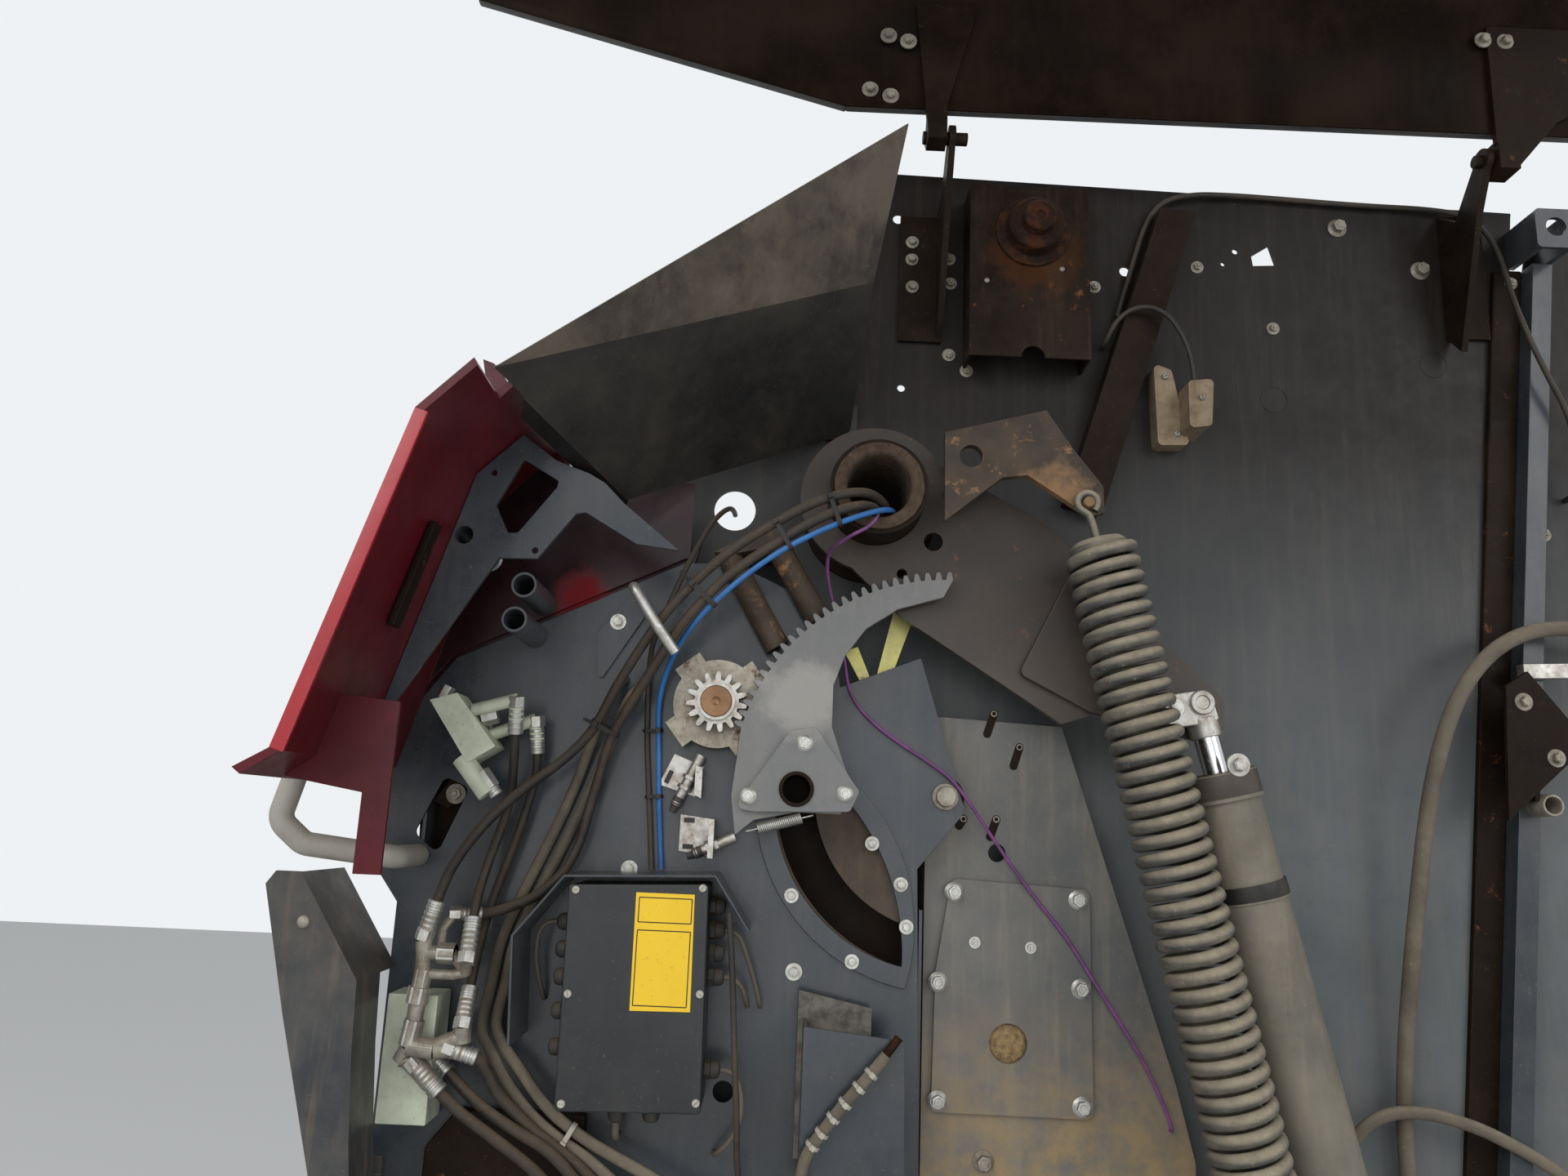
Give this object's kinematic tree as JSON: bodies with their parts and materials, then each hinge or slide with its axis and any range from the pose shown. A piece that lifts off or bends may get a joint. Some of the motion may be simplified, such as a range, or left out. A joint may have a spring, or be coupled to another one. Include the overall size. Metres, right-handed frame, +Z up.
{
  "type": "round baler side frame with belt tensioner",
  "caption": "Left side wall of a round baler with its belt tension arm, spring and cylinder, bale size sensing gear, hydraulic and electric parts, and raised side door.",
  "frame": {"origin": "centre of the four-hole bolt pattern in the underside of the sill", "axes": "+X to the rear of the baler, +Z up, -Y outwards from the wall to the side of the machine"},
  "size_m": [1.5694, 1.2696, 2.26],
  "materials": {
    "dark_paint": "brown-black sprayed paint, dusty",
    "grey_paint": "anthracite gloss paint",
    "red_paint": "red gloss paint",
    "light_grey_paint": "light grey paint, worn",
    "spring_paint": "black paint, dusty and worn",
    "rusty_steel": "rusty bare steel",
    "zinc": "white zinc plate",
    "yellow_zinc": "yellow zinc plate",
    "chrome": "hard chrome",
    "rubber": "matt rubber",
    "cable_sheath": "grey, black and blue cable sheaths",
    "purple_twine": "faded purple twine",
    "foam": "coarse foam lining, dusty",
    "black_plastic": "matt black"
  },
  "bodies": {
    "frame": {"main_wall": "dark_paint", "sill_rail": "dark_paint", "rear_post": "dark_paint", "rear_plate": "grey_paint", "front_plate": "grey_paint", "slot_ring": "grey_paint", "slot_flaps": "rubber", "bearing_panel": "grey_paint", "bearing_cover": "grey_paint", "roller_bearing_plate": "dark_paint", "roller_hub": "rusty_steel", "hinge_bracket_front": "dark_paint", "hinge_bracket_rear": "dark_paint", "diagonal_brace": "dark_paint", "pivot_tube": "dark_paint", "pivot_lining": "foam", "lower_anchor": "dark_paint", "tension_spring": "spring_paint", "sensing_pivot": "zinc", "pinion_bearing": "zinc", "sensor_brackets": "zinc", "zinc_links": "yellow_zinc", "twin_valve": "rusty_steel", "electric_box": "black_plastic", "electric_box_lid": "black_plastic", "box_glands": "black_plastic", "box_canopy": "grey_paint", "valve_block": "zinc", "manifold": "zinc", "manifold_fittings": "zinc", "front_cover": "black_plastic", "handrail": "light_grey_paint", "front_hood": "red_paint", "bracket_plate": "dark_paint", "cross_tubes": "dark_paint", "skin_panel": "dark_paint", "hose_hook": "grey_paint", "low_plates": "grey_paint", "sensor_box": "zinc", "triangle_bracket": "dark_paint", "rear_lugs": "dark_paint", "window_lever": "grey_paint", "hydraulic_hoses": "rubber", "rear_hoses": "rubber", "cables": "cable_sheath", "purple_cord": "purple_twine"},
    "tension_arm": {"tension_arm": "dark_paint", "cylinder_lug": "dark_paint", "spring_ear": "dark_paint"},
    "cylinder": {"cylinder_barrel": "grey_paint"},
    "cylinder_rod": {"cylinder_rod": "chrome", "rod_eye": "zinc"},
    "sensing_arm": {"sector_gear": "grey_paint", "sensing_boss": "grey_paint", "sensing_arm": "dark_paint"},
    "pinion": {"pinion_gear": "zinc", "pulse_disc": "yellow_zinc"},
    "door": {"door_panel": "dark_paint", "door_arm_front": "dark_paint", "door_arm_rear": "dark_paint"}
  },
  "joints": [
    {"name": "arm_swing", "type": "hinge", "parent": "frame", "child": "tension_arm", "pos_m": [-0.137, -0.09, 1.281], "axis": [0, -1, 0], "range_deg": [0, 30], "deforming": ["tension_spring"]},
    {"name": "cylinder_swing", "type": "hinge", "parent": "frame", "child": "cylinder", "pos_m": [0.4, -0.122, 0.33], "axis": [0, -1, 0], "range_deg": [-7.49, 0.5]},
    {"name": "rod_slide", "type": "slide", "parent": "cylinder", "child": "cylinder_rod", "axis": [-0.2368, 0, 0.9716], "range_m": [-0.002, 0.1985]},
    {"name": "sensing_swing", "type": "hinge", "parent": "frame", "child": "sensing_arm", "pos_m": [-0.047, -0.058, 0.94], "axis": [0, -1, 0], "range_deg": [0, 60]},
    {"name": "pinion_spin", "type": "hinge", "parent": "frame", "child": "pinion", "pos_m": [-0.30938, -0.1, 1.03188], "axis": [0, -1, 0], "range_deg": [-498, 2]},
    {"name": "door_swing", "type": "hinge", "parent": "frame", "child": "door", "pos_m": [0, -0.1, 1.755], "axis": [1, 0, 0], "range_deg": [0, 100]}
  ],
  "couplings": [
    {"joint": "cylinder_swing", "follows": "arm_swing", "ratio": -0.23283},
    {"joint": "rod_slide", "follows": "arm_swing", "m_per_rad": 0.37526},
    {"joint": "pinion_spin", "follows": "sensing_swing", "ratio": -8.2667}
  ]
}
